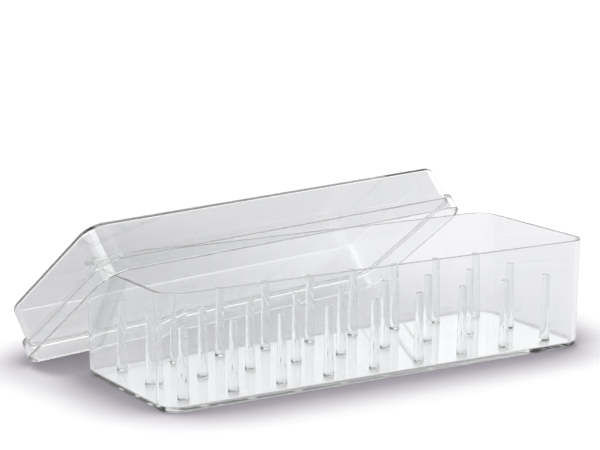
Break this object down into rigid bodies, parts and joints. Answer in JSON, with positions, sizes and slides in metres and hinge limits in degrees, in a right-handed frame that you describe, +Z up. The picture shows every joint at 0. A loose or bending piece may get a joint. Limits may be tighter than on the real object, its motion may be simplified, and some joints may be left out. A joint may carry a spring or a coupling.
{
  "type": "pegged storage box",
  "caption": "Clear rectangular box with a grid of upright pegs on its floor for holding small hollow pieces, and a loose stepped lid leaning off it",
  "frame": {"origin": "the middle of the tray's underside, on the surface that it stands on", "axes": "+X along the tray's length to the right, +Y to the back where the lid leans, +Z up"},
  "size_m": [0.231, 0.1555, 0.0683],
  "materials": {
    "tray": "clear moulded polystyrene, polished",
    "lid": "clear moulded polystyrene, polished",
    "pegs": "clear moulded polystyrene, polished"
  },
  "bodies": {
    "tray": {"tray": "tray", "peg_a1": "pegs", "peg_a2": "pegs", "peg_a3": "pegs", "peg_a4": "pegs", "peg_a5": "pegs", "peg_a6": "pegs", "peg_a7": "pegs", "peg_a8": "pegs", "peg_a9": "pegs", "peg_b1": "pegs", "peg_b2": "pegs", "peg_b3": "pegs", "peg_b4": "pegs", "peg_b5": "pegs", "peg_b6": "pegs", "peg_b7": "pegs", "peg_b8": "pegs", "peg_b9": "pegs", "peg_c1": "pegs", "peg_c2": "pegs", "peg_c3": "pegs", "peg_c4": "pegs", "peg_c5": "pegs", "peg_c6": "pegs", "peg_c7": "pegs", "peg_c8": "pegs", "peg_c9": "pegs"},
    "lid": {"lid": "lid"}
  },
  "joints": [
    {"name": "lid_lift", "type": "slide", "parent": "tray", "child": "lid", "axis": [0, 0, 1], "range_m": [0, 0.08]}
  ]
}
